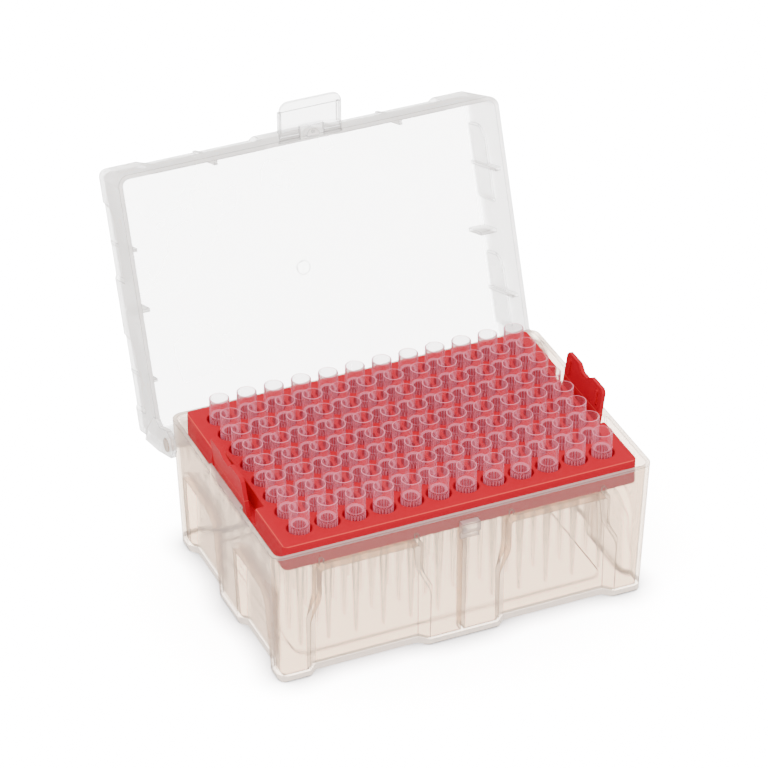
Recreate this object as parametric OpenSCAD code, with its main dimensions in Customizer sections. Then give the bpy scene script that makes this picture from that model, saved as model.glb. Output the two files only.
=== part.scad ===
// Hinged box of pipette tips: a clear base and lid, a red rack that hangs ninety-six tips
// on the nine millimetre grid, two squeeze grips on the rack's ends and a flip-over latch.
// Origin at the middle of the base's underside, +X along the long side, +Y to the hinge.

/* [Tips] */
// Columns of tips, along the long side
columns = 12; // [6:1:12]
// Rows of tips, from front to back
rows = 8; // [6:1:8]
// Distance between neighbouring tips
pitch = 9; // [9:0.1:11]
// Length of one tip
tip_length = 50.3; // [46:0.1:70]
// Outer diameter of the collar
tip_d = 6.24; // [5.8:0.02:6.6]
// Wall of the collar
tip_wall = 0.4; // [0.3:0.05:0.5]
// Height of the smooth collar above the fins
collar_h = 6.4; // [5:0.05:6.9]
// Height of the fins that carry the tip
fin_h = 5.6; // [4.5:0.05:6.5]
// Fins round one tip
fins = 20; // [8:1:22]
// Width of one fin
fin_t = 0.4; // [0.3:0.05:0.5]
// Height of the tips' mouths above the rack
tip_proud = 7.5; // [7:0.1:9]
// Outer diameter of the stem just under the fins
stem_d = 3.2; // [2.6:0.1:3.8]
// Outer diameter of the point
point_d = 0.8; // [0.7:0.05:1.2]
// Bore of the point
point_bore = 0.4; // [0.3:0.05:0.5]

/* [Rack] */
// From the last column's centre to the rack's end
rack_end = 8.2; // [7.8:0.1:10]
// From the outer row's centre to the rack's side
rack_side = 7.95; // [7.5:0.05:10]
// Height of the rack
rack_h = 8.3; // [7.8:0.1:10]
// Wall of the rack's skirt
skirt_t = 1.4; // [1:0.1:1.8]
// Thickness of the pierced block under the top face
block_h = 6.5; // [6:0.1:7.4]
// Rack's top face above the base's rim
rack_proud = 1.7; // [1:0.1:3]
// Diameter of the socket round each collar
socket_d = 8; // [7.6:0.1:8.3]
// Diameter of the hole under each socket
stem_hole = 5.4; // [5.3:0.05:5.6]
// Radius of the rack's upright corners
rack_r = 2; // [1.5:0.1:4]
// Bevel round the top face
rack_bevel = 0.4; // [0.2:0.1:0.8]
// Length of the notch in each end
notch_l = 34.6; // [30:0.2:38]
// Depth of those notches
notch_depth = 3; // [2.8:0.1:3.2]

/* [Grips] */
// Width of a grip
grip_w = 24.6; // [22:0.2:27]
// Height of a grip's edge above the rack's top face
grip_proud = 7.9; // [6:0.1:8.4]
// Thickness of a grip
grip_t = 1.3; // [1:0.1:1.4]
// Outward lean of a grip
grip_lean = 7.5; // [4:0.5:8]
// Depth of the dip in a grip's edge
dip_depth = 1.8; // [1:0.1:3]
// Width of that dip
dip_w = 8.6; // [6:0.2:12]
// Height of the rail that a grip bends on
rail_h = 2.2; // [1.6:0.1:3]

/* [Base] */
// Space between the rack and the end walls
end_gap = 3; // [2.8:0.1:4]
// Space between the rack and the long walls
side_gap = 1.25; // [0.8:0.05:2]
// Wall of the base
wall = 1.3; // [1:0.1:1.6]
// Thickness of the floor's border
floor_t = 1.5; // [1.2:0.1:2]
// Height of the floor's raised middle
floor_step = 0.8; // [0.4:0.1:1.2]
// Width of the floor's border
floor_border = 8; // [6:0.5:12]
// Space between the points and the floor
tip_clear = 2.9; // [1.5:0.1:8]
// Inward draft of the end walls
end_draft = 1.8; // [0.8:0.1:2.2]
// Inward draft of the long walls
side_draft = 0.8; // [0.4:0.1:1.4]
// Radius of the base's upright corners
corner_r = 3.6; // [3:0.2:5]
// Radius of the foot's lower edge
foot_r = 1.2; // [0.6:0.1:1.6]
// Half the width of the middle foot on the long sides
mid_foot = 11.3; // [9:0.1:13]
// Width of the corner feet on the long sides
end_foot = 9.8; // [9:0.1:14]
// Half the width of the middle foot on the short sides
mid_foot_end = 7.3; // [6:0.1:9]
// Width of the corner feet on the short sides
end_foot_end = 7.5; // [7:0.1:10]
// Depth of the long sides' recesses at the foot
recess_depth = 2.8; // [2:0.1:3.2]
// Depth of those recesses under the rack
recess_depth_top = 4.7; // [4.2:0.1:5]
// Height of the crease in them
crease_h = 26; // [20:0.5:28]
// Splay of their ends towards the foot
splay = 3.6; // [2:0.1:4]
// Depth of the short sides' recesses
end_recess_depth = 2.4; // [1.6:0.1:2.8]
// Height of the short sides' recesses
end_recess_h = 28.3; // [24:0.1:30]
// Rounding at the front end of those recesses
end_recess_r = 6.5; // [4:0.1:8]
// Splay of that front end
end_splay = 1.4; // [0.5:0.1:2]
// Thickness of the rib behind the catch
rib_t = 1.2; // [1:0.1:2]
// Projection of that rib from the front wall
rib_depth = 3.6; // [2:0.2:5]
// Length of the thicker stretch of rim
rim_pad_l = 25; // [20:0.5:30]
// Thickness of that stretch, inwards of the wall
rim_pad_t = 0.9; // [0.5:0.1:1]
// Height of that stretch
rim_pad_h = 6; // [3:0.5:8]

/* [Lid] */
// Wall of the lid
lid_wall = 1.4; // [1.2:0.1:1.6]
// Space between the lid's skirt and the base
lid_gap = 0.4; // [0.35:0.05:0.6]
// How far the lid laps over the rim
lid_lap = 2; // [1.5:0.1:2.4]
// Space over the tips with the lid shut
headroom = 10; // [8:0.5:16]
// Draft of the lid's walls
lid_draft = 0.7; // [0.5:0.1:1.4]
// Radius of the lid's upright corners
lid_corner_r = 3.8; // [3.2:0.1:5.4]
// Radius of the lid's top edge
lid_edge_r = 2; // [1.6:0.1:3]
// Depth of the lid's recesses at its top face
lid_recess = 1.3; // [0.8:0.1:1.5]
// Height of the lid's recesses
lid_recess_h = 12; // [8:0.5:13]
// Depth of the recesses in the lid's short sides
lid_end_recess = 0.9; // [0.5:0.1:1]
// Wall behind those recesses, thin to clear the grips
lid_end_skin = 1; // [0.8:0.1:1.1]
// Projection of the lid's thin inner ribs
lid_rib = 2; // [1.2:0.1:2.4]
// Projection of the gusset in the middle of each of the lid's short sides
gusset_w = 5.3; // [3:0.1:6]
// Height of that gusset
gusset_h = 9.5; // [5:0.5:12]
// Clearance between those ribs and the rim
seat_gap = 0.1; // [0.05:0.05:0.3]
// Angle of the open lid
lid_open = 110.5; // [95:0.5:120]

/* [Hinge] */
// Hinge axis below the base's rim
hinge_drop = 9.4; // [8.8:0.1:10]
// Hinge axis in from the base's back
hinge_inset = 2; // [1.8:0.1:2.6]
// Radius of a hinge stud
stud_r = 2.2; // [1.8:0.1:2.4]
// Radial clearance of a stud in its ear
stud_gap = 0.06; // [0.03:0.01:0.09]
// Width of an ear
ear_w = 8.6; // [8.4:0.1:11]
// Ear below the hinge axis
ear_drop = 4.8; // [4.3:0.1:5.2]
// Space between the open lid and its stops
stop_gap = 0.08; // [0.05:0.01:0.2]

/* [Latch] */
// Width of the latch
latch_w = 20.6; // [17:0.2:22]
// Length of the latch from its hinge line
latch_l = 13.6; // [11:0.1:16]
// Thickness of the latch
latch_t = 1.3; // [1.1:0.1:1.5]
// Thickness of the web that joins it to its bead
web_t = 0.5; // [0.3:0.05:0.6]
// Length of that web
web_l = 1.2; // [1:0.1:1.5]
// Radius of the bead that the latch turns on
bead_r = 0.45; // [0.4:0.05:0.5]
// Radial clearance of the bead in the lid's groove
bead_gap = 0.05; // [0.03:0.01:0.08]
// Angle of the latch from its shut place
latch_open = 70; // [60:1:85]
// Length of the thin finger lip
latch_lip = 3.6; // [2:0.1:4]
// Depth of the latch's side flanges
flange_h = 1; // [0.5:0.1:1.2]
// Length of the window, from the hinge line
window_l = 3.9; // [3.6:0.1:4.4]
// Width of the catch
catch_w = 6; // [5:0.1:7]
// Catch's offset from the middle
catch_x = 0.5; // [0:0.1:0.6]
// Projection of the catch's hook
catch_t = 2.5; // [2.2:0.1:2.8]
// Projection of the heel under the hook
heel_t = 1; // [0.6:0.1:1.1]
// Height of that heel
heel_h = 2.8; // [1:0.1:4]
// Clearance between the hook and the window's far edge
catch_gap = 0.35; // [0.25:0.05:0.5]
// Space between the catch and the window's sides
catch_side = 0.95; // [0.8:0.05:1.2]

/* [Hidden] */
$fn = 48;
// How far a cutting shape runs past the face that it cuts
run = 1;
// How far a tub's corner prisms stand outside its walls, so that the walls stay true planes
corner_join = 0.03;
rack_w = (columns - 1) * pitch + 2 * rack_end;
rack_d = (rows - 1) * pitch + 2 * rack_side;
base_w = rack_w + 2 * (end_gap + wall);
base_d = rack_d + 2 * (side_gap + wall);
tip_bottom = floor_t + floor_step + tip_clear;
tip_top = tip_bottom + tip_length;
rack_top = tip_top - tip_proud;
base_h = rack_top - rack_proud;
ledge_z = rack_top - rack_h;
fin_top = tip_top - collar_h;
seat_z = fin_top - fin_h;
lid_w = base_w + 2 * (lid_gap + lid_wall);
lid_d = base_d + 2 * (lid_gap + lid_wall);
lid_rim_z = base_h - lid_lap;
lid_top = tip_top + headroom + lid_wall;
lid_h = lid_top - lid_rim_z;
hinge_y = base_d / 2 - hinge_inset;
hinge_z = base_h - hinge_drop;
// Hinge line of the latch with the lid shut, on the lower outer edge of the lid's front wall
latch_y = 0.3 - lid_d / 2;
latch_z = lid_rim_z - 0.1;
catch_z = lid_rim_z - 0.5;
hook_z = latch_z - window_l + catch_gap;
foot_w = base_w / 2 - end_draft;
foot_d = base_d / 2 - side_draft;
column_names = ["01", "02", "03", "04", "05", "06", "07", "08", "09", "10", "11", "12"];

function column_x(i) = (i - (columns - 1) / 2) * pitch;
function row_y(j) = ((rows - 1) / 2 - j) * pitch;
// Share of an easy curve between two heights, from 0 to 1
function ease(v, v0, v1) = (1 - cos(180 * max(0, min(1, (v - v0) / (v1 - v0))))) / 2;
function arc(cx, cy, r, a0, a1) =
    [for (k = [0 : 6]) let (a = a0 + (a1 - a0) * k / 6) [cx + r * cos(a), cy + r * sin(a)]];

module both_x() {
    children();
    mirror([1, 0, 0]) children();
}

module both_y() {
    children();
    mirror([0, 1, 0]) children();
}

// Prism along +X from a drawing in the YZ plane
module along_x(x0, length) {
    translate([x0, 0, 0]) rotate([90, 0, 90]) linear_extrude(length) children();
}

// Prism along Y from a drawing in the XZ plane
module along_y(y0, length) {
    translate([0, y0 + length, 0]) rotate([90, 0, 0]) linear_extrude(length) children();
}

module rounded_rect(w, d, r) {
    square([w - 2 * r, d], center = true);
    square([w, d - 2 * r], center = true);
    for (sx = [-1, 1], sy = [-1, 1])
        translate([sx * (w / 2 - r), sy * (d / 2 - r)])
            circle(r);
}

// Side view of a tub: narrower at its foot, whose edge is rounded
module tub_side(w, h, draft, edge) {
    b = w / 2 - draft;
    polygon(concat(
        arc(edge - b, edge, edge, 180, 270),
        arc(b - edge, edge, edge, 270, 360),
        [[w / 2, h], [-w / 2, h]]
    ));
}

// Prism that leans inwards like a tub's walls and rounds its corner on the +X +Y side.
// Its flat sides stay just outside the walls.
module tub_corner(w, d, h, draft_x, draft_y, r) {
    multmatrix([
        [1, 0, draft_x / h, w / 2 - draft_x],
        [0, 1, draft_y / h, d / 2 - draft_y],
        [0, 0, 1, 0],
        [0, 0, 0, 1]
    ])
        translate([0, 0, -run]) linear_extrude(h + 2 * run) {
            translate([-2 * w, -2 * d]) square([2 * w + corner_join, 2 * d - r]);
            translate([-2 * w, -2 * d]) square([2 * w - r, 2 * d + corner_join]);
            translate([-r, -r]) circle(r + corner_join);
        }
}

// Solid tub with drafted walls and round upright corners, standing on z = 0
module tub(w, d, h, draft_x, draft_y, r, edge) {
    intersection() {
        along_y(-d, 2 * d) tub_side(w, h, draft_x, edge);
        along_x(-w, 2 * w) tub_side(d, h, draft_y, edge);
        tub_corner(w, d, h, draft_x, draft_y, r);
        mirror([1, 0, 0]) tub_corner(w, d, h, draft_x, draft_y, r);
        mirror([0, 1, 0]) tub_corner(w, d, h, draft_x, draft_y, r);
        rotate([0, 0, 180]) tub_corner(w, d, h, draft_x, draft_y, r);
    }
}

// Recess seen square on. f0 and f1 are the splays of its ends, between the heights v0 and v1.
// r0 and r1 round its top corners.
module recess_face(u0, u1, top, f0, f1, v0, v1, r0, r1) {
    heights = [for (k = [0 : 8]) v0 + (v1 - v0) * k / 8];
    polygon(concat(
        [[u0, -run]],
        [for (v = heights) [u0 + f0 * ease(v, v0, v1), v]],
        arc(u0 + f0 + r0, top - r0, r0, 180, 90),
        arc(u1 - f1 - r1, top - r1, r1, 90, 0),
        [for (k = [8 : -1 : 0]) [u1 - f1 * ease(heights[k], v0, v1), heights[k]]],
        [[u1, -run]]
    ));
}

// Side view of a recess: level to the crease, then leaning inwards up to its top
module recess_side(half, depth, depth_top, crease, top) {
    polygon([
        [-half - 2 * run, -run],
        [depth - half, -run],
        [depth - half, crease],
        [depth_top - half, top],
        [-half - 2 * run, top]
    ]);
}

// Plan of a recess down to a depth: its ends slope inwards at forty-five degrees
module recess_plan(u0, u1, half, depth) {
    out = 2 * run;
    polygon([
        [u0 - out, -half - out],
        [u1 + out, -half - out],
        [u1 - depth, depth - half],
        [u0 + depth, depth - half]
    ]);
}

// Cutter for a recess in a long wall that faces -Y, on the +X side.
// grow moves its faces outwards by a wall, for the inner skin.
module long_recess(grow) {
    u0 = mid_foot;
    u1 = foot_w - end_foot;
    top = ledge_z - wall;
    r = 1 + grow;
    // Heights between which its ends close in
    splay_from = 19;
    splay_to = 29.5;
    reach = 9;
    slant = sqrt(2) * grow;
    intersection() {
        along_y(-base_d, base_d)
            recess_face(u0 - grow, u1 + grow, top + grow, splay, splay, splay_from, splay_to, r, r);
        along_x(0, base_w)
            recess_side(foot_d, recess_depth + grow, recess_depth_top + grow, crease_h, top + grow);
        translate([0, 0, -2 * run]) linear_extrude(base_h)
            recess_plan(u0 - slant, u1 + slant, foot_d, reach);
    }
}

// Cutter for a recess in a short wall that faces -X, with its rounded end at the front
module short_recess(y0, y1, grow) {
    slant = sqrt(2) * grow;
    depth = end_recess_depth + grow;
    back_r = 0.5;
    splay_from = 2;
    splay_to = 20;
    reach = 7;
    rotate([0, 0, -90]) intersection() {
        along_y(-base_w, base_w)
            recess_face(-y1 - grow, grow - y0, end_recess_h + grow, 0, end_splay,
                splay_from, splay_to, back_r + grow, end_recess_r + grow);
        along_x(-base_w, 2 * base_w)
            recess_side(foot_w, depth, depth, end_recess_h / 2, end_recess_h + grow);
        translate([0, 0, -2 * run]) linear_extrude(base_h)
            recess_plan(-y1 - slant, slant - y0, foot_w, reach);
    }
}

module base_recesses(grow) {
    both_y() both_x() long_recess(grow);
    both_x() {
        short_recess(mid_foot_end, foot_d - end_foot_end, grow);
        short_recess(end_foot_end - foot_d, -mid_foot_end, grow);
    }
}

module base_cavity() {
    inner_foot_r = 1;
    step_r = 4;
    step_w = 2 * (foot_w - wall - floor_border);
    step_d = 2 * (foot_d - wall - floor_border);
    difference() {
        translate([0, 0, floor_t])
            tub(base_w - 2 * wall, base_d - 2 * wall, base_h - floor_t + run,
                end_draft, side_draft, corner_r - wall, inner_foot_r);
        base_recesses(wall);
        linear_extrude(floor_t + floor_step) rounded_rect(step_w, step_d, step_r);
    }
}

// Catch for the latch: a hook that fills the window, over a heel that stays behind the latch
module catch() {
    face = -base_d / 2;
    along_x(catch_x - catch_w / 2, catch_w)
        polygon([
            [face + wall / 2, catch_z],
            [face - catch_t, catch_z],
            [face - catch_t, hook_z],
            [face - heel_t, hook_z],
            [face - heel_t, hook_z - heel_h],
            [face + wall / 2, hook_z - heel_h]
        ]);
}

// Stop against which the open lid's back rim comes to rest
module lid_stop() {
    reach = lid_d / 2 - hinge_y;
    rise = lid_rim_z - hinge_z;
    // Back rim's outer edge once the lid is open, from the hinge axis
    rim = [
        reach * cos(lid_open) + rise * sin(lid_open),
        rise * cos(lid_open) - reach * sin(lid_open)
    ];
    along = [-cos(lid_open), sin(lid_open)];
    face = rim - stop_gap * [sin(lid_open), cos(lid_open)];
    stop_w = 2.4;
    stop_inset = 9;
    // Its root, inside the back wall
    root_y = hinge_inset - wall / 2 - 0.2;
    root_below = 3.4;
    root_above = 2.6;
    translate([0, hinge_y, hinge_z])
        along_x(base_w / 2 - stop_inset, stop_w)
            polygon([
                [root_y, face[1] - root_below],
                face - 0.6 * along,
                face + 1.1 * along,
                [root_y, face[1] + root_above]
            ]);
}

// Bar on the front wall that centres the rack, with a round top edge
module rack_bar(x) {
    bar_w = 1.4;
    bar_h = 2.4;
    // From inside the wall to just short of the rack's side
    bar_d = wall / 2 + 0.9 * side_gap;
    translate([x, wall / 2 - base_d / 2, ledge_z - 1]) {
        translate([-bar_w / 2, 0, 0]) cube([bar_w, bar_d, bar_h]);
        translate([0, bar_d, bar_h]) rotate([90, 0, 0]) cylinder(d = bar_w, h = bar_d);
    }
}

module base() {
    // Space left under the rack by the rib behind the catch
    rib_gap = 0.3;
    rib_back = wall + rib_depth - foot_d;
    stud_root = 0.3;
    stud_proud = 0.4;
    bar_inset = 0.6;
    color([0.86, 0.83, 0.79, 0.5]) {
        difference() {
            tub(base_w, base_d, base_h, end_draft, side_draft, corner_r, foot_r);
            base_recesses(0);
            base_cavity();
        }
        catch();
        // Rib behind the catch, under the rack
        along_x(-rib_t / 2, rib_t)
            polygon([
                [wall / 2 - foot_d, floor_t / 2],
                [rib_back, floor_t / 2],
                [rib_back, ledge_z - rib_gap],
                [wall / 2 - foot_d, ledge_z - rib_gap]
            ]);
        both_x() {
            // Thicker stretch of rim beside the grip
            along_y(-rim_pad_l / 2, rim_pad_l)
                polygon([
                    [base_w / 2 - wall / 2, base_h],
                    [base_w / 2 - wall - rim_pad_t, base_h],
                    [base_w / 2 - wall - rim_pad_t, base_h - rim_pad_h + rim_pad_t],
                    [base_w / 2 - wall - 0.1, base_h - rim_pad_h]
                ]);
            // Hinge stud
            translate([base_w / 2 - wall - stud_root, hinge_y, hinge_z]) rotate([0, 90, 0])
                cylinder(r = stud_r, h = stud_root + wall + lid_gap + lid_wall + stud_proud);
            lid_stop();
            both_y() for (x = [mid_foot + splay + bar_inset, foot_w - end_foot - splay - bar_inset])
                rack_bar(x);
        }
    }
}

// One squeeze grip: a plate that leans out from the rail that floors the rack's notch.
// It's drawn for the +X end.
module grip() {
    foot_z = ledge_z + rail_h;
    foot_x = rack_w / 2 + 0.7;
    edge = (rack_top + grip_proud - foot_z) / cos(grip_lean);
    flat_end = (grip_w - dip_w) / 2;
    // Cut-off corners of the plate
    chamfer_w = 1;
    chamfer_h = 1.2;
    // Rail's flange outside the skirt
    flange = 0.9;
    // Ribs on the inner face
    rib_w = 1;
    rib_h = 4.6;
    rib_drop = 6.4;
    // Rail, out to the skirt's outer face
    translate([rack_w / 2 - notch_depth - skirt_t / 2, -notch_l / 2 - run, ledge_z])
        cube([notch_depth + skirt_t / 2, notch_l + 2 * run, rail_h]);
    translate([rack_w / 2 - skirt_t / 2, -grip_w / 2 - 0.5, ledge_z])
        cube([skirt_t / 2 + flange, grip_w + 1, rail_h]);
    translate([foot_x, 0, foot_z]) rotate([0, grip_lean, 0]) {
        // Plate
        along_x(-grip_t, grip_t)
            polygon([
                [-grip_w / 2, -run],
                [-grip_w / 2, edge - chamfer_h],
                [chamfer_w - grip_w / 2, edge],
                [-dip_w / 2, edge],
                [-dip_w / 5, edge - dip_depth],
                [dip_w / 5, edge - dip_depth],
                [dip_w / 2, edge],
                [grip_w / 2 - chamfer_w, edge],
                [grip_w / 2, edge - chamfer_h],
                [grip_w / 2, -run]
            ]);
        for (y = [-1, 1] * (grip_w / 2 - flat_end / 2 + rib_w))
            translate([-grip_t - rib_w / 2, y - rib_w / 2, edge - rib_drop])
                cube([rib_w, rib_w, rib_h]);
    }
}

module rack() {
    color([0.84, 0.1, 0.12]) {
        difference() {
            intersection() {
                translate([0, 0, ledge_z]) linear_extrude(rack_h) rounded_rect(rack_w, rack_d, rack_r);
                along_y(-rack_d, 2 * rack_d) bevelled(rack_w);
                along_x(-rack_w, 2 * rack_w) bevelled(rack_d);
            }
            // Hollow under the block, inside a skirt that follows the notches too
            translate([0, 0, ledge_z - run]) linear_extrude(rack_h - block_h + run)
                difference() {
                    rounded_rect(rack_w - 2 * skirt_t, rack_d - 2 * skirt_t, 1);
                    both_x() translate([rack_w / 2 - notch_depth - skirt_t, -notch_l / 2 - skirt_t])
                        square([notch_depth + skirt_t, notch_l + 2 * skirt_t]);
                }
            for (i = [0 : columns - 1], j = [0 : rows - 1])
                translate([column_x(i), row_y(j), ledge_z]) {
                    cylinder(d = stem_hole, h = rack_h);
                    translate([0, 0, seat_z - ledge_z]) cylinder(d = socket_d, h = rack_h);
                }
            both_x()
                translate([rack_w / 2 - notch_depth, -notch_l / 2, ledge_z - run])
                    cube([notch_depth + run, notch_l, rack_h + 2 * run]);
        }
        both_x() grip();
    }
}

// Side view of the rack's top edge, for a length across
module bevelled(across) {
    polygon([
        [-across / 2, ledge_z],
        [across / 2, ledge_z],
        [across / 2, rack_top - rack_bevel],
        [across / 2 - rack_bevel, rack_top],
        [rack_bevel - across / 2, rack_top],
        [-across / 2, rack_top - rack_bevel]
    ]);
}

// Radial profile of one tip, outside from the mouth down and inside back up
module tip_profile() {
    // Sleeve behind the fins, which tapers to the stem below them
    sleeve_wall = 0.55;
    sleeve_r = tip_d / 2 - 0.55;
    bore_r = sleeve_r - sleeve_wall;
    stem_wall = 0.45;
    stem_z = seat_z - 1.6;
    polygon([
        [tip_d / 2, tip_top],
        [tip_d / 2, fin_top],
        [sleeve_r, fin_top],
        [sleeve_r - 0.06, seat_z],
        [stem_d / 2, stem_z],
        [point_d / 2, tip_bottom],
        [point_bore / 2, tip_bottom],
        [stem_d / 2 - stem_wall, stem_z],
        [bore_r, seat_z],
        [bore_r, fin_top + 0.2],
        [tip_d / 2 - tip_wall, fin_top + 0.7],
        [tip_d / 2 - tip_wall, tip_top]
    ]);
}

// Fins of one tip as a toothed ring
module fin_ring() {
    outer_r = tip_d / 2 - 0.01;
    inner_r = tip_d / 2 - 0.7;
    half_out = asin(fin_t / 2 / outer_r);
    half_in = asin(fin_t / 2 / inner_r);
    difference() {
        polygon([
            for (k = [0 : fins - 1], q = [0 : 3])
                let (
                    a = 360 * k / fins + [-half_in, -half_out, half_out, half_in][q],
                    r = [inner_r, outer_r, outer_r, inner_r][q]
                )
                [r * cos(a), r * sin(a)]
        ]);
        circle(inner_r - 0.3);
    }
}

module tip() {
    rotate_extrude() tip_profile();
    translate([0, 0, seat_z]) linear_extrude(fin_h + 0.1) fin_ring();
}

module tips_column(i) {
    color([0.9, 0.9, 0.92, 0.4])
        for (j = [0 : rows - 1])
            translate([column_x(i), row_y(j), 0]) tip();
}

// Places its children, drawn with the lid shut, where the open lid has them
module opened() {
    translate([0, hinge_y, hinge_z]) rotate([-lid_open, 0, 0]) translate([0, -hinge_y, -hinge_z])
        children();
}

// Cutters for the lid's recesses, which run down from its top face.
// inner picks the inner skin, a wall further in.
module lid_recesses(inner) {
    grow = inner ? lid_wall : 0;
    skin = inner ? lid_end_skin : 0;
    half_w = lid_w / 2 - lid_draft;
    half_d = lid_d / 2 - lid_draft;
    long_end = foot_w - end_foot;
    long_r = 0.5;
    // Ends of the two recesses in a short side, from the middle outwards
    front_start = mid_foot_end + 0.9;
    front_end = foot_d - end_foot_end - 0.9;
    back_start = mid_foot_end + 2.2;
    back_end = foot_d - end_foot_end;
    short_splay = 0.8;
    short_r = 5;
    translate([0, 0, lid_top]) mirror([0, 0, 1]) {
        both_y() both_x()
            lid_recess_cutter(mid_foot, long_end, half_d, lid_recess, 1, 1, long_r, grow);
        both_x() rotate([0, 0, -90]) {
            lid_recess_cutter(-back_end, -back_start, half_w, lid_end_recess, 0, short_splay,
                short_r, skin);
            lid_recess_cutter(front_start, front_end, half_w, lid_end_recess, 0, short_splay,
                short_r, skin);
        }
    }
}

// One such cutter, in a wall that faces -Y: f0 and f1 splay its ends, r1 rounds its far corner
module lid_recess_cutter(u0, u1, half, depth, f0, f1, r1, grow) {
    slant = sqrt(2) * grow;
    height = lid_recess_h + grow;
    near_r = 0.5;
    reach = 6;
    // Distances from the top face and from the far corner at which the splay starts and ends
    margin = 2;
    intersection() {
        along_y(-lid_w, lid_w)
            recess_face(u0 - grow, u1 + grow, height, f0, f1, margin, height - r1 - margin,
                near_r + grow, r1 + grow);
        along_x(-lid_w, 2 * lid_w)
            recess_side(half, depth + grow, depth + grow, height / 2, height);
        translate([0, 0, -2 * run]) linear_extrude(lid_h)
            recess_plan(u0 - slant, u1 + slant, half, reach);
    }
}

module lid_shell() {
    groove_w = latch_w + 0.6;
    gate_r = 2.2;
    gate_depth = 0.4;
    difference() {
        translate([0, 0, lid_top]) mirror([0, 0, 1])
            tub(lid_w, lid_d, lid_h, lid_draft, lid_draft, lid_corner_r, lid_edge_r);
        lid_recesses(false);
        difference() {
            translate([0, 0, lid_top - lid_wall]) mirror([0, 0, 1])
                tub(lid_w - 2 * lid_wall, lid_d - 2 * lid_wall, lid_h - lid_wall + run,
                    lid_draft, lid_draft, lid_corner_r - lid_wall, lid_edge_r - 1);
            lid_recesses(true);
        }
        // Gate mark in the top face
        translate([-0.7, 2, lid_top - gate_depth]) cylinder(r = gate_r, h = run);
        // Groove for the latch's bead
        translate([-groove_w / 2, latch_y, latch_z]) rotate([0, 90, 0])
            cylinder(r = bead_r + bead_gap, h = groove_w);
    }
    latch_boss();
}

// Half-round boss over the latch's window, with a dimple in its end
module latch_boss() {
    boss_r = 2.1;
    boss_h = 3.5;
    root = 0.3;
    dimple_r = 0.5;
    dimple_depth = 0.6;
    translate([catch_x + 0.6, 0.1 - lid_d / 2, lid_rim_z])
        difference() {
            intersection() {
                cylinder(r = boss_r, h = boss_h);
                translate([-boss_r, -boss_r, 0]) cube([2 * boss_r, boss_r + root, boss_h]);
            }
            translate([0, -boss_r / 2, -run]) cylinder(r = dimple_r, h = run + dimple_depth);
        }
}

// Ribs inside the lid. The thin ones stop just above the base's rim.
module lid_ribs() {
    inner_w = lid_w / 2 - lid_wall;
    inner_d = lid_d / 2 - lid_wall;
    foot_z = base_h + seat_gap;
    top_z = lid_top - lid_wall / 2;
    root = lid_wall / 2;
    thin = 1;
    gusset_t = 1.2;
    gusset_y = 1.1;
    gusset_z = lid_top - lid_wall - gusset_h;
    // Extra space under the back ribs, which swing past the rim
    swing_gap = 0.3;
    both_x() {
        for (y = [-19.8, 21.6])
            along_y(y - thin / 2, thin)
                polygon([
                    [inner_w + root, foot_z],
                    [inner_w - lid_rib, foot_z],
                    [inner_w - lid_rib, top_z],
                    [inner_w + root - lid_draft, top_z]
                ]);
        // Middle gusset, square in the corner under the top face
        along_y(gusset_y, gusset_t)
            polygon([
                [inner_w - lid_draft - gusset_w, top_z],
                [inner_w - lid_draft - gusset_w, gusset_z],
                [inner_w - 0.2, gusset_z],
                [inner_w - lid_draft + 0.6, top_z]
            ]);
        // Ribs on the front wall and the back wall
        for (side = [-1, 1])
            along_x(30.5, thin)
                polygon([
                    [side * (inner_d + root), foot_z + (side > 0 ? swing_gap : 0)],
                    [side * (inner_d - lid_rib), foot_z + (side > 0 ? swing_gap : 0)],
                    [side * (inner_d - lid_rib), top_z],
                    [side * (inner_d + root - lid_draft), top_z]
                ]);
    }
}

// Ear on the +X side that turns on the base's stud
module ear() {
    half = base_d / 2 + lid_gap + lid_wall - hinge_y;
    front = half - ear_w;
    corner = 2.4;
    rim = hinge_drop - lid_lap;
    translate([0, hinge_y, hinge_z]) along_x(base_w / 2 + lid_gap, lid_wall + 0.1)
        difference() {
            polygon([
                [half, corner - ear_drop],
                [half - corner, -ear_drop],
                [front + corner, -ear_drop],
                [front, corner - ear_drop],
                [front, rim - corner],
                [front - corner, rim + 0.2],
                [front - corner, hinge_drop],
                [front + 3, lid_h * 0.8],
                [half - 1.4, lid_h * 0.94],
                [half, hinge_drop]
            ]);
            circle(stud_r + stud_gap);
        }
}

module lid() {
    color([0.88, 0.88, 0.89, 0.45]) opened() {
        lid_shell();
        lid_ribs();
        both_x() ear();
    }
}

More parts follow.
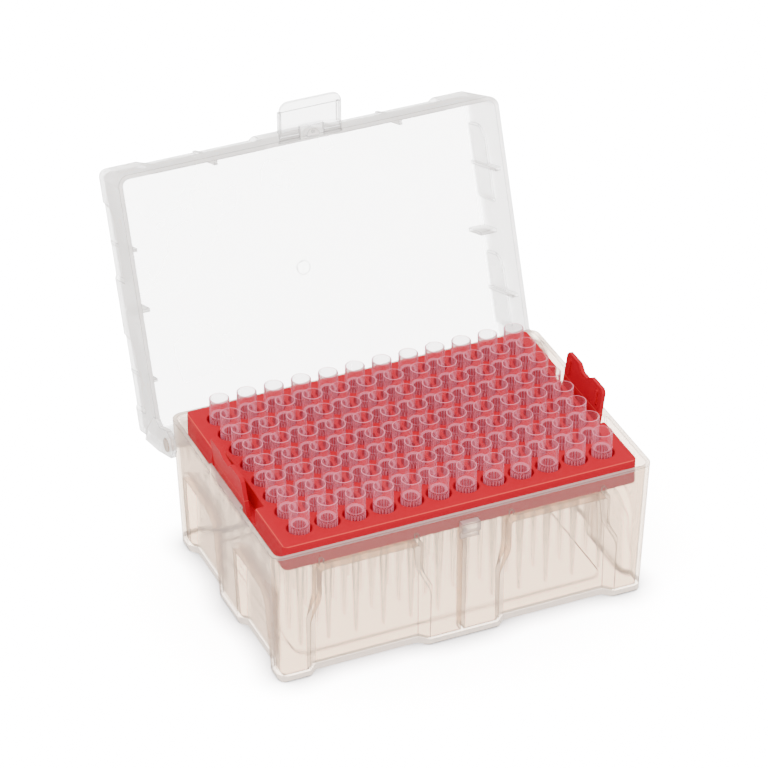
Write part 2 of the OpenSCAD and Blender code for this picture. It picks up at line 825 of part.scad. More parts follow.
// Latch drawn shut, hanging from the lid's rim: the window in it takes the catch.
// Its plate stands mostly outwards of the hinge line.
module latch() {
    window_w = catch_w + 2 * catch_side;
    // Plate's inner face, from the hinge line
    inner = 0.3;
    // Depth by which the finger lip is thinned from outside
    lip_step = 0.45;
    lip_z = latch_lip - latch_l;
    flange_w = 0.9;
    flange_foot = lip_z + 0.3;
    flange_top = -2.5;
    color([0.88, 0.88, 0.89, 0.5]) opened()
        translate([0, latch_y, latch_z]) rotate([-latch_open, 0, 0]) {
            difference() {
                union() {
                    translate([-latch_w / 2, 0, 0]) rotate([0, 90, 0])
                        cylinder(r = bead_r, h = latch_w);
                    translate([-latch_w / 2, -web_t / 2, -web_l - 0.1])
                        cube([latch_w, web_t, web_l + 0.1]);
                    along_y(inner - latch_t, latch_t) latch_face();
                }
                translate([catch_x - window_w / 2, -latch_t - run, -window_l])
                    cube([window_w, latch_t + 2 * run, window_l + run]);
                translate([-latch_w, inner - latch_t - run, lip_z - latch_l])
                    cube([2 * latch_w, run + lip_step, latch_l]);
            }
            // Side flanges away from the base
            both_x() translate([latch_w / 2 - flange_w, inner - latch_t - flange_h, flange_foot])
                cube([flange_w, flange_h + 0.2, flange_top - flange_foot]);
        }
}

module latch_face() {
    r = 3;
    polygon(concat(
        [[-latch_w / 2, -web_l]],
        arc(r - latch_w / 2, r - latch_l, r, 180, 270),
        arc(latch_w / 2 - r, r - latch_l, r, 270, 360),
        [[latch_w / 2, -web_l]]
    ));
}

base();
rack();
lid();
latch();
for (i = [0 : columns - 1])
    tips_column(i);
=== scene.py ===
"""Looks for the hinged box of pipette tips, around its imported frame."""

import math

import bmesh
import bpy
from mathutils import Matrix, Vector


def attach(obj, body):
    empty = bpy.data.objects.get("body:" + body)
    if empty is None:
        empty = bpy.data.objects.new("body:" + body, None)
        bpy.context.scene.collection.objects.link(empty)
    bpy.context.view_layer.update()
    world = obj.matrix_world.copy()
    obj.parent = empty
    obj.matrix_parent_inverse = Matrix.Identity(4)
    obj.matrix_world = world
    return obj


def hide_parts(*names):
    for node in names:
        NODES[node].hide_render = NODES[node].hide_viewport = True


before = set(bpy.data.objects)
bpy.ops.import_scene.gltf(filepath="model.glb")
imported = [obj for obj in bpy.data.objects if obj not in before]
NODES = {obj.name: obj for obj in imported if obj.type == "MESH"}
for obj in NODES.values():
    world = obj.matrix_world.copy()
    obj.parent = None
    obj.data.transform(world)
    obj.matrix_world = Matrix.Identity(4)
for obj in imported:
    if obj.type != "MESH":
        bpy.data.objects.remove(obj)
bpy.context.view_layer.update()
MM = 0.001


# ---------------------------------------------------------------- sizes, in millimetres

# Grid that the tips stand on
COLUMNS = 12
ROWS = 8
PITCH = 9.0

# Heights on a tip in the rack: its point, the foot and the top of its fins, and its mouth
TIP_BOTTOM = 5.2
SEAT_Z = 43.5
FIN_TOP = 49.1
TIP_TOP = 55.5

# Collar, fins, stem and point of a tip
COLLAR_D = 6.24
COLLAR_WALL = 0.4
FINS = 20
FIN_T = 0.4
STEM_D = 3.2
POINT_D = 0.8

# How far the sleeve behind the fins and the shoulder in the bore lie inside the collar's outside
SLEEVE_IN = 0.8
SHOULDER_IN = 1.05

# Height under which a tip is its stem alone: the visible bore ends a little above it
STEM_BARE_Z = 38.0

# The base's front face and rim, and the rack's top face and the bevel round it
BASE_FRONT = 42.0
BASE_H = 46.3
RACK_TOP = 48.0
RACK_BEVEL = 0.4

# The lid's rim and the hinge axis with the lid shut, and the angle of the open lid
LID_RIM = 44.3
HINGE_Y = 40.0
HINGE_Z = 36.9
LID_OPEN = 110.5


# ---------------------------------------------------------------- light and camera

# Brightness of the light tent, of what shows behind the clear plastic, and of the bare floor
TENT = 1.15
BACKDROP = 9.0
FLOOR_WHITE = 14.0

# Reach of the soft contact shadow over the floor, in metres, and how fast it deepens
CONTACT_REACH = 0.009
CONTACT_POWER = 2.0

# Half the floor's side, and its height: a hair under the base, so that their faces never meet
FLOOR_HALF = 4.0
FLOOR_Z = -0.00004

# The camera's direction from the box in degrees, its distance and aim in metres, and its lens
CAMERA_AZIMUTH = -23.65
CAMERA_ELEVATION = 33.26
CAMERA_DISTANCE = 1.3095
CAMERA_AIM = (-0.00047, 0.01834, 0.05568)
CAMERA_LENS = 200.6
CAMERA_SENSOR = 36.0
CAMERA_CLIP = 20.0


# ---------------------------------------------------------------- node helpers

def socket(tree, kind, name, where="INPUT", default=None):
    """Adds a named input or output to a node group."""
    made = tree.interface.new_socket(name, in_out=where, socket_type=kind)
    if default is not None:
        made.default_value = default


def node(tree, kind, **values):
    """Adds a node. A value named after a property sets it, and any other sets a socket."""
    made = tree.nodes.new(kind)
    for key, value in values.items():
        if hasattr(made, key):
            setattr(made, key, value)
        else:
            made.inputs[key.replace("_", " ")].default_value = value
    return made


def maths(tree, operation, second=None, **values):
    """Adds a Math node, whose second input may be a fixed number."""
    made = node(tree, "ShaderNodeMath", operation=operation, **values)
    if second is not None:
        made.inputs[1].default_value = second
    return made


def effect(tree, group, **values):
    """Places a shared effect in a material, with the material's own values."""
    made = tree.nodes.new("ShaderNodeGroup")
    made.node_tree = group
    for key, value in values.items():
        made.inputs[key.replace("_", " ")].default_value = value
    return made


def wire(tree, *pairs):
    """Links each output to its input."""
    for out, into in pairs:
        tree.links.new(out, into)


# ---------------------------------------------------------------- shared effects

def moulded_surface():
    """Uneven gloss and faint flow marks of an injection moulding."""
    tree = bpy.data.node_groups.new("moulded_surface", "ShaderNodeTree")
    socket(tree, "NodeSocketFloat", "Scale", default=900.0)
    socket(tree, "NodeSocketFloat", "Gloss low", default=0.05)
    socket(tree, "NodeSocketFloat", "Gloss high", default=0.12)
    socket(tree, "NodeSocketFloat", "Depth", default=0.2)
    socket(tree, "NodeSocketFloat", "Cloud", "OUTPUT")
    socket(tree, "NodeSocketFloat", "Roughness", "OUTPUT")
    socket(tree, "NodeSocketVector", "Normal", "OUTPUT")
    into = tree.nodes.new("NodeGroupInput")
    out = tree.nodes.new("NodeGroupOutput")
    place = tree.nodes.new("ShaderNodeTexCoord")
    cloud = node(tree, "ShaderNodeTexNoise", Scale=38.0, Detail=3.0, Roughness=0.5)
    fine = node(tree, "ShaderNodeTexNoise", Detail=4.0, Roughness=0.6)
    gloss = node(tree, "ShaderNodeMapRange", interpolation_type="SMOOTHSTEP",
                 From_Min=0.35, From_Max=0.65)
    bump = node(tree, "ShaderNodeBump", Distance=0.00004)
    wire(
        tree,
        (place.outputs["Object"], cloud.inputs["Vector"]),
        (place.outputs["Object"], fine.inputs["Vector"]),
        (into.outputs["Scale"], fine.inputs["Scale"]),
        (cloud.outputs["Fac"], gloss.inputs["Value"]),
        (into.outputs["Gloss low"], gloss.inputs["To Min"]),
        (into.outputs["Gloss high"], gloss.inputs["To Max"]),
        (fine.outputs["Fac"], bump.inputs["Height"]),
        (into.outputs["Depth"], bump.inputs["Strength"]),
        (cloud.outputs["Fac"], out.inputs["Cloud"]),
        (gloss.outputs["Result"], out.inputs["Roughness"]),
        (bump.outputs["Normal"], out.inputs["Normal"]),
    )
    return tree


def milky_band():
    """Mask that is 1 on a plane across the part and fades out at some distance from it."""
    tree = bpy.data.node_groups.new("milky_band", "ShaderNodeTree")
    socket(tree, "NodeSocketVector", "Across", default=(0.0, 0.0, 1.0))
    socket(tree, "NodeSocketFloat", "Offset", default=0.0)
    socket(tree, "NodeSocketFloat", "Solid", default=0.0003)
    socket(tree, "NodeSocketFloat", "Faded", default=0.0006)
    socket(tree, "NodeSocketFloat", "Mask", "OUTPUT")
    into = tree.nodes.new("NodeGroupInput")
    out = tree.nodes.new("NodeGroupOutput")
    place = tree.nodes.new("ShaderNodeTexCoord")
    along = node(tree, "ShaderNodeVectorMath", operation="DOT_PRODUCT")
    apart = maths(tree, "SUBTRACT")
    length = maths(tree, "ABSOLUTE")
    fade = node(tree, "ShaderNodeMapRange", interpolation_type="SMOOTHSTEP",
                To_Min=1.0, To_Max=0.0)
    wire(
        tree,
        (place.outputs["Object"], along.inputs[0]),
        (into.outputs["Across"], along.inputs[1]),
        (along.outputs["Value"], apart.inputs[0]),
        (into.outputs["Offset"], apart.inputs[1]),
        (apart.outputs[0], length.inputs[0]),
        (length.outputs[0], fade.inputs["Value"]),
        (into.outputs["Solid"], fade.inputs["From Min"]),
        (into.outputs["Faded"], fade.inputs["From Max"]),
        (fade.outputs["Result"], out.inputs["Mask"]),
    )
    return tree


def edge_shade_lines():
    """Mask of thin lines along the edges of a moulding, where its walls meet or bend sharply, for
    painted shade.
    """
    tree = bpy.data.node_groups.new("edge_shade_lines", "ShaderNodeTree")
    socket(tree, "NodeSocketFloat", "Width", default=0.0003)
    socket(tree, "NodeSocketFloat", "Gain", default=12.0)
    socket(tree, "NodeSocketFloat", "Mask", "OUTPUT")
    into = tree.nodes.new("NodeGroupInput")
    out = tree.nodes.new("NodeGroupOutput")
    rounded = node(tree, "ShaderNodeBevel", samples=4)
    plain = tree.nodes.new("ShaderNodeNewGeometry")
    alike = node(tree, "ShaderNodeVectorMath", operation="DOT_PRODUCT")
    bend = maths(tree, "SUBTRACT")
    bend.inputs[0].default_value = 1.0
    line = maths(tree, "MULTIPLY", use_clamp=True)
    wire(
        tree,
        (into.outputs["Width"], rounded.inputs["Radius"]),
        (rounded.outputs["Normal"], alike.inputs[0]),
        (plain.outputs["Normal"], alike.inputs[1]),
        (alike.outputs["Value"], bend.inputs[1]),
        (bend.outputs[0], line.inputs[0]),
        (into.outputs["Gain"], line.inputs[1]),
        (line.outputs[0], out.inputs["Mask"]),
    )
    return tree


def foot_haze():
    """Mask of the upright faces below some height, where the walls run into the floor."""
    # Share of the strip that is fully hazy, before it fades out above, and the most that a
    # face's normal may rise for the face to count as upright
    full_share = 0.75
    most_rise = 0.5
    tree = bpy.data.node_groups.new("foot_haze", "ShaderNodeTree")
    socket(tree, "NodeSocketFloat", "Height", default=0.002)
    socket(tree, "NodeSocketFloat", "Mask", "OUTPUT")
    into = tree.nodes.new("NodeGroupInput")
    out = tree.nodes.new("NodeGroupOutput")
    place = tree.nodes.new("ShaderNodeTexCoord")
    up = tree.nodes.new("ShaderNodeSeparateXYZ")
    facing = tree.nodes.new("ShaderNodeNewGeometry")
    tilt = tree.nodes.new("ShaderNodeSeparateXYZ")
    rise = maths(tree, "ABSOLUTE")
    upright = maths(tree, "LESS_THAN", most_rise)
    full = maths(tree, "MULTIPLY", full_share)
    low = node(tree, "ShaderNodeMapRange", interpolation_type="SMOOTHSTEP",
               To_Min=1.0, To_Max=0.0)
    both = maths(tree, "MULTIPLY")
    wire(
        tree,
        (place.outputs["Object"], up.inputs[0]),
        (up.outputs["Z"], low.inputs["Value"]),
        (into.outputs["Height"], full.inputs[0]),
        (full.outputs[0], low.inputs["From Min"]),
        (into.outputs["Height"], low.inputs["From Max"]),
        (facing.outputs["Normal"], tilt.inputs[0]),
        (tilt.outputs["Z"], rise.inputs[0]),
        (rise.outputs[0], upright.inputs[0]),
        (low.outputs["Result"], both.inputs[0]),
        (upright.outputs[0], both.inputs[1]),
        (both.outputs[0], out.inputs["Mask"]),
    )
    return tree


SURFACE = moulded_surface()
BAND = milky_band()
EDGE_SHADE_LINES = edge_shade_lines()
FOOT = foot_haze()


# ---------------------------------------------------------------- plastics

def plastic(name, dark, light, gloss, depth=0.15, grain=900.0, **shader):
    """A moulded plastic whose tint drifts a little between two colours."""
    mat = bpy.data.materials.new(name)
    mat.use_nodes = True
    tree = mat.node_tree
    base = tree.nodes["Principled BSDF"]
    for key, value in shader.items():
        base.inputs[key.replace("_", " ")].default_value = value
    surface = effect(tree, SURFACE, Scale=grain, Gloss_low=gloss[0], Gloss_high=gloss[1],
                     Depth=depth)
    tint = node(tree, "ShaderNodeMix", data_type="RGBA")
    tint.inputs["A"].default_value = (*dark, 1.0)
    tint.inputs["B"].default_value = (*light, 1.0)
    wire(
        tree,
        (surface.outputs["Cloud"], tint.inputs["Factor"]),
        (tint.outputs["Result"], base.inputs["Base Color"]),
        (surface.outputs["Roughness"], base.inputs["Roughness"]),
        (surface.outputs["Normal"], base.inputs["Normal"]),
    )
    return mat


def band_mask(mat, offset, solid, faded, across=(0.0, 0.0, 1.0)):
    """Mask of a band in a material, with its place and its half widths in millimetres."""
    band = effect(mat.node_tree, BAND, Across=across, Offset=offset * MM, Solid=solid * MM,
                  Faded=faded * MM)
    return band.outputs["Mask"]


def tinted_where(mat, mask, colour):
    """Blends a plastic's colour into another one where a mask is bright."""
    tree = mat.node_tree
    base = tree.nodes["Principled BSDF"]
    source = base.inputs["Base Color"].links[0].from_socket
    blend = node(tree, "ShaderNodeMix", data_type="RGBA")
    blend.inputs["B"].default_value = (*colour, 1.0)
    wire(
        tree,
        (mask, blend.inputs["Factor"]),
        (source, blend.inputs["A"]),
        (blend.outputs["Result"], base.inputs["Base Color"]),
    )


def strongest(tree, solid, mask, strength):
    """The larger of a haze amount and a mask times its strength."""
    scaled = maths(tree, "MULTIPLY", strength)
    most = maths(tree, "MAXIMUM")
    wire(
        tree,
        (mask, scaled.inputs[0]),
        (scaled.outputs[0], most.inputs[0]),
        (solid.outputs[0], most.inputs[1]),
    )
    return most


def haze_from_layers(mat, solid):
    """Haze where layers of the mesh say so, and painted shade, a dark pink, in the tips' grooves.
    """
    tree = mat.node_tree
    painted_shade_strength = 0.06
    painted_shade_pink = (0.5, 0.03, 0.09)
    milk = node(tree, "ShaderNodeAttribute", attribute_name="milk")
    shade = node(tree, "ShaderNodeAttribute", attribute_name="shade")
    solid = strongest(tree, solid, milk.outputs["Fac"], 1.0)
    solid = strongest(tree, solid, shade.outputs["Fac"], painted_shade_strength)
    tinted_where(mat, shade.outputs["Fac"], painted_shade_pink)
    return solid


def clear(mat, tint, haze, edge, straight, bands=(), curve_power=3.0,
          lets_through=(0.97, 0.97, 0.97), lines=None, foot=None, layers=False):
    """Makes a plastic clear, with milky haze that thickens from haze to edge where it is seen
    edge on, and in bands, along edges, at the foot and where layers of the mesh say so. Along
    edges, and in the tips' grooves where a layer says so, it also paints shade: a darker colour
    in place of the dark that clear plastic shows there.
    straight is the share of light that goes through unbent. Shadow rays and light from matte
    surfaces pass straight through it."""
    tree = mat.node_tree
    out = tree.nodes["Material Output"]
    milk = tree.nodes["Principled BSDF"]
    glass = node(tree, "ShaderNodeBsdfPrincipled", Base_Color=(*tint, 1.0), Roughness=0.03,
                 IOR=1.06, Transmission_Weight=1.0)
    path = tree.nodes.new("ShaderNodeLightPath")
    view = node(tree, "ShaderNodeLayerWeight", Blend=0.5)
    curve = maths(tree, "POWER", curve_power)
    solid = maths(tree, "MULTIPLY_ADD", edge - haze)
    solid.inputs[2].default_value = haze
    wire(
        tree,
        (view.outputs["Facing"], curve.inputs[0]),
        (curve.outputs[0], solid.inputs[0]),
    )
    for strength, band in bands:
        solid = strongest(tree, solid, band_mask(mat, **band), strength)
    if lines:
        # Painted shade: the edges get more haze and a darker colour
        edges = effect(tree, EDGE_SHADE_LINES, Width=lines["width"] * MM).outputs["Mask"]
        solid = strongest(tree, solid, edges, lines["strength"])
        tinted_where(mat, edges, lines["colour"])
    if foot:
        strip = effect(tree, FOOT, Height=foot["height"] * MM).outputs["Mask"]
        solid = strongest(tree, solid, strip, foot["strength"])
        tinted_where(mat, strip, foot["colour"])
    if layers:
        solid = haze_from_layers(mat, solid)
    thin = node(tree, "ShaderNodeBsdfTransparent", Color=(*tint, 1.0))
    split = node(tree, "ShaderNodeMixShader", Fac=straight)
    hazy = tree.nodes.new("ShaderNodeMixShader")
    either = maths(tree, "MAXIMUM")
    passed = node(tree, "ShaderNodeBsdfTransparent", Color=(*lets_through, 1.0))
    mix = tree.nodes.new("ShaderNodeMixShader")
    wire(
        tree,
        (glass.outputs[0], split.inputs[1]),
        (thin.outputs[0], split.inputs[2]),
        (solid.outputs[0], hazy.inputs[0]),
        (split.outputs[0], hazy.inputs[1]),
        (milk.outputs[0], hazy.inputs[2]),
        (path.outputs["Is Shadow Ray"], either.inputs[0]),
        (path.outputs["Is Diffuse Ray"], either.inputs[1]),
        (either.outputs[0], mix.inputs[0]),
        (hazy.outputs[0], mix.inputs[1]),
        (passed.outputs[0], mix.inputs[2]),
        (mix.outputs[0], out.inputs["Surface"]),
    )
    return mat


# Bands along the base's rim and along its front face, where the moulding is thicker
BASE_RIM_BAND = {"offset": BASE_H, "solid": 0.4, "faded": 0.9}
BASE_FRONT_BAND = {"offset": BASE_FRONT + 1.3, "solid": 1.2, "faded": 1.3, "across": (0, -1, 0)}

# Band along the open lid's rim: its plane's direction, and its distance from the origin
LEAN = math.radians(LID_OPEN)
LID_UP = (0.0, math.sin(LEAN), math.cos(LEAN))
LID_RIM_OFFSET = HINGE_Y * LID_UP[1] + HINGE_Z * LID_UP[2] + LID_RIM - HINGE_Z
LID_RIM_BAND = {"offset": LID_RIM_OFFSET, "solid": 0.3, "faded": 0.7, "across": LID_UP}

# Milk colours above one, in the base, the lid and the tips, are painted light: the milk gives
# back more light than falls on it, in place of the backdrop's light that scatters through the
# plastic
CLEAR_BASE = clear(
    plastic("clear_base_plastic", dark=(1.17, 0.99, 0.93), light=(1.27, 1.07, 1.01),
            gloss=(0.25, 0.35)),
    tint=(0.84, 0.745, 0.65), haze=0.085, edge=0.65, straight=0.5,
    lets_through=(0.9, 0.895, 0.89),
    bands=[(0.38, BASE_RIM_BAND), (0.4, BASE_FRONT_BAND)],
    # The lines' dark colour is painted shade along the base's edges
    lines={"width": 0.45, "strength": 0.8, "colour": (0.2, 0.155, 0.125)},
    foot={"height": 2.8, "strength": 0.8, "colour": (0.88, 0.73, 0.655)},
)
CLEAR_LID = clear(
    plastic("clear_lid_plastic", dark=(1.95, 1.84, 1.75), light=(2.1, 1.98, 1.89),
            gloss=(0.25, 0.35)),
    tint=(0.975, 0.972, 0.97), haze=0.14, edge=0.9, straight=0.5, curve_power=1.6,
    bands=[(0.5, LID_RIM_BAND)],
    # The lines' dark colour is painted shade along the lid's edges
    lines={"width": 0.45, "strength": 0.8, "colour": (0.3, 0.285, 0.275)},
)
CLEAR_LATCH = clear(
    plastic("clear_latch_plastic", dark=(0.92, 0.89, 0.87), light=(0.98, 0.95, 0.93),
            gloss=(0.25, 0.35)),
    tint=(0.965, 0.962, 0.96), haze=0.2, edge=0.7, straight=0.5, curve_power=2.0,
    # The lines' dark colour is painted shade along the latch's edges
    lines={"width": 0.45, "strength": 0.85, "colour": (0.26, 0.245, 0.235)},
)
CLEAR_TIP = clear(
    plastic("clear_tip_plastic", dark=(1.65, 0.45, 0.63), light=(1.8, 0.5, 0.7),
            gloss=(0.15, 0.2), depth=0.0),
    tint=(0.99, 0.97, 0.975), haze=0.045, edge=0.5, straight=0.1, layers=True,
)
# The stems' milk is a dark grey that shows where they are seen edge on: painted shade that
# outlines them
CLEAR_STEM = clear(
    plastic("clear_stem_plastic", dark=(0.3, 0.28, 0.26), light=(0.35, 0.33, 0.31),
            gloss=(0.2, 0.3), depth=0.0),
    tint=(0.95, 0.945, 0.94), haze=0.03, edge=0.95, straight=0.5, curve_power=1.5,
)
RED = plastic("red_rack_plastic", dark=(0.68, 0.007, 0.024), light=(0.74, 0.01, 0.032),
              gloss=(0.35, 0.48), depth=0.35, grain=1500.0, Specular_IOR_Level=0.06)

# Painted highlight: the bevel round the rack's top is painted a lighter red, where light glints
# on it
PAINTED_HIGHLIGHT_RED = (1.0, 0.095, 0.08)
PAINTED_HIGHLIGHT_BAND = {"offset": RACK_TOP - RACK_BEVEL / 2, "solid": 0.07, "faded": 0.14}
tinted_where(RED, band_mask(RED, **PAINTED_HIGHLIGHT_BAND), PAINTED_HIGHLIGHT_RED)


def dress(obj, mat):
    """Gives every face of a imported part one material."""
    obj.data.materials.clear()
    obj.data.materials.append(mat)
    for face in obj.data.polygons:
        face.material_index = 0


dress(NODES["base"], CLEAR_BASE)
dress(NODES["lid"], CLEAR_LID)
dress(NODES["latch"], CLEAR_LATCH)
dress(NODES["rack"], RED)


# ---------------------------------------------------------------- tips

def tip_rows():
    """Rows of the tip's outline, inside from the closed end of the bore up to the mouth and
    outside down to the point: radius in the grooves between fins, radius on the fins, height,
    and how milky the plastic looks there."""
    half = COLLAR_D / 2 - 0.01
    sleeve = half - SLEEVE_IN
    step = half - SHOULDER_IN
    bore = half - COLLAR_WALL
    stem = STEM_D / 2
    point = POINT_D / 2
    bare = 0.0
    shoulder = 0.36
    ring = 0.5
    lip = 0.85
    return [
        (stem - 0.6, stem - 0.6, STEM_BARE_Z + 0.8, bare),
        (step - 0.1, step - 0.1, FIN_TOP, bare),
        (step, step, FIN_TOP + 0.15, ring),
        (step + 0.25, step + 0.25, FIN_TOP + 0.2, shoulder),
        (bore - 0.2, bore - 0.2, FIN_TOP + 0.3, shoulder),
        (bore, bore, FIN_TOP + 0.4, ring),
        (bore, bore, FIN_TOP + 0.6, bare),
        (bore, bore, TIP_TOP - 0.15, bare),
        (bore + 0.06, bore + 0.06, TIP_TOP, bare),
        (half - 0.06, half - 0.06, TIP_TOP, lip),
        (half, half, TIP_TOP - 0.15, bare),
        (half, half, FIN_TOP, bare),
        (sleeve, half, FIN_TOP - 0.05, shoulder),
        (sleeve, half, SEAT_Z + 0.1, shoulder),
        (stem, stem, SEAT_Z - 1.6, bare),
        (stem - 0.15, stem - 0.15, STEM_BARE_Z, bare),
        (stem - 0.35, stem - 0.35, SEAT_Z - 11, bare),
        (point, point, TIP_BOTTOM + 0.05, bare),
    ]


def tip_mesh():
    """One tip, spun round Z with three points for each fin: one in the groove, two on the fin."""
    fin_half = math.asin(FIN_T / 2 / (COLLAR_D / 2))
    step = 2 * math.pi / FINS
    turns = []
    for k in range(FINS):
        turns.append((k * step, False))
        turns.append(((k + 0.5) * step - fin_half, True))
        turns.append(((k + 0.5) * step + fin_half, True))
    points = len(turns)
    work = bmesh.new()
    milk = work.verts.layers.float.new("milk")
    shade = work.verts.layers.float.new("shade")
    loops = []
    for groove, fin, z, milky in tip_rows():
        loop = []
        for turn, on_fin in turns:
            radius = fin if on_fin else groove
            x = radius * math.cos(turn) * MM
            y = radius * math.sin(turn) * MM
            vert = work.verts.new((x, y, z * MM))
            in_groove = groove < fin and not on_fin
            vert[milk] = 0.0 if in_groove else milky
            # Painted shade: the grooves between the fins are marked to be painted darker
            vert[shade] = 1.0 if in_groove else 0.0
            loop.append(vert)
        loops.append(loop)
    for below, above in zip(loops, loops[1:]):
        for k in range(points):
            after = (k + 1) % points
            work.faces.new((below[k], below[after], above[after], above[k]))
    for loop, z in ((loops[0], STEM_BARE_Z + 0.3), (loops[-1], TIP_BOTTOM)):
        middle = work.verts.new((0, 0, z * MM))
        for k in range(points):
            work.faces.new((loop[k], loop[(k + 1) % points], middle))
    bmesh.ops.recalc_face_normals(work, faces=work.faces)
    mesh = bpy.data.meshes.new("one_tip")
    work.to_mesh(mesh)
    work.free()
    return mesh


def tip_grid_nodes():
    """Geometry Nodes that stand one tip in every hole of the rack."""
    tree = bpy.data.node_groups.new("tips_in_rack", "GeometryNodeTree")
    socket(tree, "NodeSocketGeometry", "Geometry")
    socket(tree, "NodeSocketInt", "Columns", default=COLUMNS)
    socket(tree, "NodeSocketInt", "Rows", default=ROWS)
    socket(tree, "NodeSocketFloat", "Pitch", default=PITCH * MM)
    socket(tree, "NodeSocketFloat", "Stem from", default=STEM_BARE_Z * MM)
    socket(tree, "NodeSocketMaterial", "Collar")
    socket(tree, "NodeSocketMaterial", "Stem")
    socket(tree, "NodeSocketGeometry", "Geometry", "OUTPUT")
    into = tree.nodes.new("NodeGroupInput")
    out = tree.nodes.new("NodeGroupOutput")
    grid = tree.nodes.new("GeometryNodeMeshGrid")
    for name, side in (("Columns", "X"), ("Rows", "Y")):
        gaps = maths(tree, "SUBTRACT", 1.0)
        span = maths(tree, "MULTIPLY")
        wire(
            tree,
            (into.outputs[name], gaps.inputs[0]),
            (gaps.outputs[0], span.inputs[0]),
            (into.outputs["Pitch"], span.inputs[1]),
            (span.outputs[0], grid.inputs["Size " + side]),
            (into.outputs[name], grid.inputs["Vertices " + side]),
        )
    stand = tree.nodes.new("GeometryNodeInstanceOnPoints")
    real = tree.nodes.new("GeometryNodeRealizeInstances")
    collar = tree.nodes.new("GeometryNodeSetMaterial")
    stem = tree.nodes.new("GeometryNodeSetMaterial")
    place = tree.nodes.new("GeometryNodeInputPosition")
    height = tree.nodes.new("ShaderNodeSeparateXYZ")
    under = node(tree, "FunctionNodeCompare", data_type="FLOAT", operation="LESS_THAN")
    wire(
        tree,
        (grid.outputs["Mesh"], stand.inputs["Points"]),
        (into.outputs["Geometry"], stand.inputs["Instance"]),
        (stand.outputs["Instances"], real.inputs["Geometry"]),
        (real.outputs["Geometry"], collar.inputs["Geometry"]),
        (into.outputs["Collar"], collar.inputs["Material"]),
        (place.outputs["Position"], height.inputs["Vector"]),
        (height.outputs["Z"], under.inputs["A"]),
        (into.outputs["Stem from"], under.inputs["B"]),
        (under.outputs["Result"], stem.inputs["Selection"]),
        (into.outputs["Stem"], stem.inputs["Material"]),
        (collar.outputs["Geometry"], stem.inputs["Geometry"]),
        (stem.outputs["Geometry"], out.inputs["Geometry"]),
    )
    return tree


def set_inputs(modifier, tree, values):
    """Sets a modifier's named inputs by their sockets' identifiers."""
    for item in tree.interface.items_tree:
        if item.item_type == "SOCKET" and item.in_out == "INPUT" and item.name in values:
            modifier[item.identifier] = values[item.name]


def bake_modifiers(obj):
    """Turns an object's evaluated shape into its own plain mesh."""
    graph = bpy.context.evaluated_depsgraph_get()
    mesh = bpy.data.meshes.new_from_object(obj.evaluated_get(graph))
    mesh.name = obj.name
    obj.modifiers.clear()
    obj.data = mesh


def tips():
    """All the tips as one piece, which stands for the columns of tips in the frame."""
    obj = bpy.data.objects.new("tips_in_rack", tip_mesh())
    bpy.context.scene.collection.objects.link(obj)
    tree = tip_grid_nodes()
    grid = obj.modifiers.new("grid", "NODES")
    grid.node_group = tree
    set_inputs(grid, tree, {
        "Columns": COLUMNS,
        "Rows": ROWS,
        "Pitch": PITCH * MM,
        "Stem from": STEM_BARE_Z * MM,
        "Collar": CLEAR_TIP,
        "Stem": CLEAR_STEM,
    })
    bake_modifiers(obj)
    obj.data.shade_smooth()
    obj.data.set_sharp_from_angle(angle=math.radians(40))
    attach(obj, "base")
    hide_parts(*["tips_column_%02d" % (k + 1) for k in range(COLUMNS)])


tips()


# ---------------------------------------------------------------- studio

def seen_directly(tree):
    """The Light Path node, and a node that is 1 on rays from the camera, also by way of clear
    plastic, and 0 past a matte or a glossy surface."""
    path = tree.nodes.new("ShaderNodeLightPath")
    sight = maths(tree, "MAXIMUM")
    turned = maths(tree, "ADD")
    fresh = maths(tree, "LESS_THAN", 0.5)
    both = maths(tree, "MULTIPLY")
    wire(
        tree,
        (path.outputs["Is Camera Ray"], sight.inputs[0]),
        (path.outputs["Is Transmission Ray"], sight.inputs[1]),
        (path.outputs["Diffuse Depth"], turned.inputs[0]),
        (path.outputs["Glossy Depth"], turned.inputs[1]),
        (turned.outputs[0], fresh.inputs[0]),
        (sight.outputs[0], both.inputs[0]),
        (fresh.outputs[0], both.inputs[1]),
    )
    return path, both


def studio():
    """A soft white tent all round, with a brighter white behind the clear plastic."""
    world = bpy.data.worlds.new("studio")
    bpy.context.scene.world = world
    world.use_nodes = True
    tree = world.node_tree
    tree.nodes.clear()
    out = tree.nodes.new("ShaderNodeOutputWorld")
    lights = node(tree, "ShaderNodeBackground", Color=(1.0, 0.995, 0.985, 1.0), Strength=TENT)
    seen = node(tree, "ShaderNodeBackground", Color=(1.0, 1.0, 1.0, 1.0), Strength=BACKDROP)
    mix = tree.nodes.new("ShaderNodeMixShader")
    _, direct = seen_directly(tree)
    wire(
        tree,
        (direct.outputs[0], mix.inputs[0]),
        (lights.outputs[0], mix.inputs[1]),
        (seen.outputs[0], mix.inputs[2]),
        (mix.outputs[0], out.inputs["Surface"]),
    )


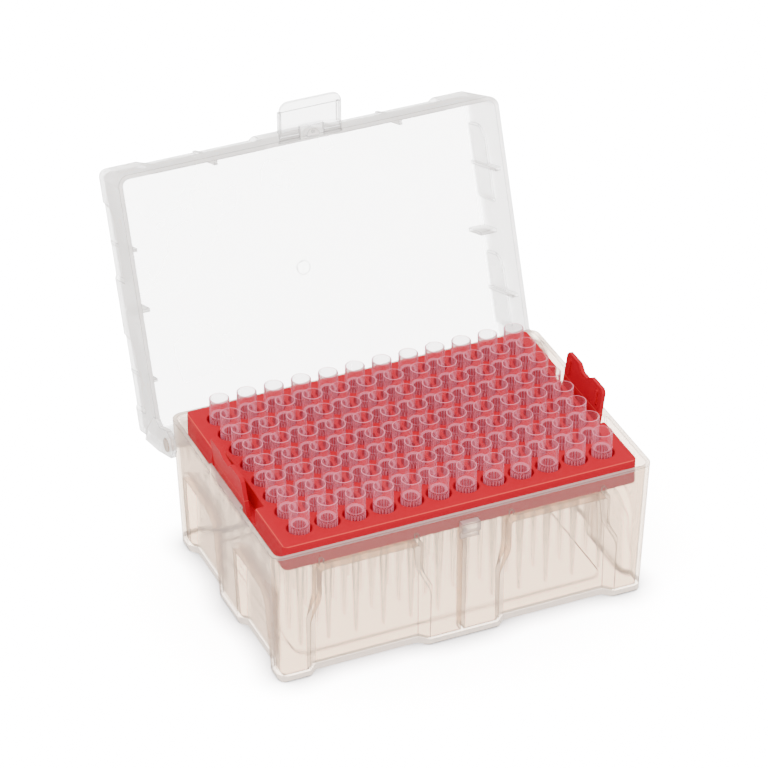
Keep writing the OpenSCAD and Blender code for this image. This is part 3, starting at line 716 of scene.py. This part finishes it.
def floor_finish():
    """White where it is seen, darker close to the box, and a matte pale grey for its light."""
    mat = bpy.data.materials.new("studio_floor")
    mat.use_nodes = True
    tree = mat.node_tree
    tree.nodes.clear()
    out = tree.nodes.new("ShaderNodeOutputMaterial")
    matte = node(tree, "ShaderNodeBsdfDiffuse", Color=(0.9, 0.9, 0.9, 1.0))
    white = tree.nodes.new("ShaderNodeBsdfDiffuse")
    near = node(tree, "ShaderNodeAmbientOcclusion", samples=12, Distance=CONTACT_REACH)
    bare = maths(tree, "MAXIMUM")
    falling = maths(tree, "POWER", CONTACT_POWER)
    shaded = node(tree, "ShaderNodeVectorMath", operation="SCALE")
    shaded.inputs[0].default_value = (FLOOR_WHITE, FLOOR_WHITE, FLOOR_WHITE)
    covered = maths(tree, "GREATER_THAN", 0.5)
    glow = node(tree, "ShaderNodeEmission", Color=(1.0, 1.0, 1.0, 1.0), Strength=BACKDROP)
    through = tree.nodes.new("ShaderNodeMixShader")
    mix = tree.nodes.new("ShaderNodeMixShader")
    path, direct = seen_directly(tree)
    wire(
        tree,
        (near.outputs["AO"], falling.inputs[0]),
        (path.outputs["Transparent Depth"], covered.inputs[0]),
        (falling.outputs[0], bare.inputs[0]),
        (covered.outputs[0], bare.inputs[1]),
        (bare.outputs[0], shaded.inputs["Scale"]),
        (shaded.outputs["Vector"], white.inputs["Color"]),
        (direct.outputs[0], through.inputs[0]),
        (matte.outputs[0], through.inputs[1]),
        (glow.outputs[0], through.inputs[2]),
        (path.outputs["Is Camera Ray"], mix.inputs[0]),
        (through.outputs[0], mix.inputs[1]),
        (white.outputs[0], mix.inputs[2]),
        (mix.outputs[0], out.inputs["Surface"]),
    )
    return mat


def floor():
    """One wide level face that the box stands on."""
    mesh = bpy.data.meshes.new("floor")
    sides = ((-1, -1), (1, -1), (1, 1), (-1, 1))
    corners = [(x * FLOOR_HALF, y * FLOOR_HALF, FLOOR_Z) for x, y in sides]
    mesh.from_pydata(corners, [], [(0, 1, 2, 3)])
    mesh.materials.append(floor_finish())
    obj = bpy.data.objects.new("floor", mesh)
    bpy.context.scene.collection.objects.link(obj)


def camera():
    """The camera, on a line from its aim at its azimuth and elevation."""
    azimuth = math.radians(CAMERA_AZIMUTH)
    elevation = math.radians(CAMERA_ELEVATION)
    back = Vector((
        math.sin(azimuth) * math.cos(elevation),
        -math.cos(azimuth) * math.cos(elevation),
        math.sin(elevation),
    ))
    data = bpy.data.cameras.new("camera")
    data.lens = CAMERA_LENS
    data.sensor_width = CAMERA_SENSOR
    data.clip_end = CAMERA_CLIP
    obj = bpy.data.objects.new("camera", data)
    obj.location = Vector(CAMERA_AIM) + back * CAMERA_DISTANCE
    obj.rotation_euler = back.to_track_quat("Z", "Y").to_euler()
    bpy.context.scene.collection.objects.link(obj)
    bpy.context.scene.camera = obj


def softbox(name, where, aim, size, power):
    """A round area light that faces a point."""
    data = bpy.data.lights.new(name, "AREA")
    data.shape = "DISK"
    data.size = size
    data.energy = power
    obj = bpy.data.objects.new(name, data)
    obj.location = Vector(where)
    obj.rotation_euler = (obj.location - Vector(aim)).to_track_quat("Z", "Y").to_euler()
    bpy.context.scene.collection.objects.link(obj)


studio()
floor()
camera()
softbox("top_light", where=(-0.3, -0.4, 1.5), aim=(0.0, 0.0, 0.05), size=1.2, power=6.0)
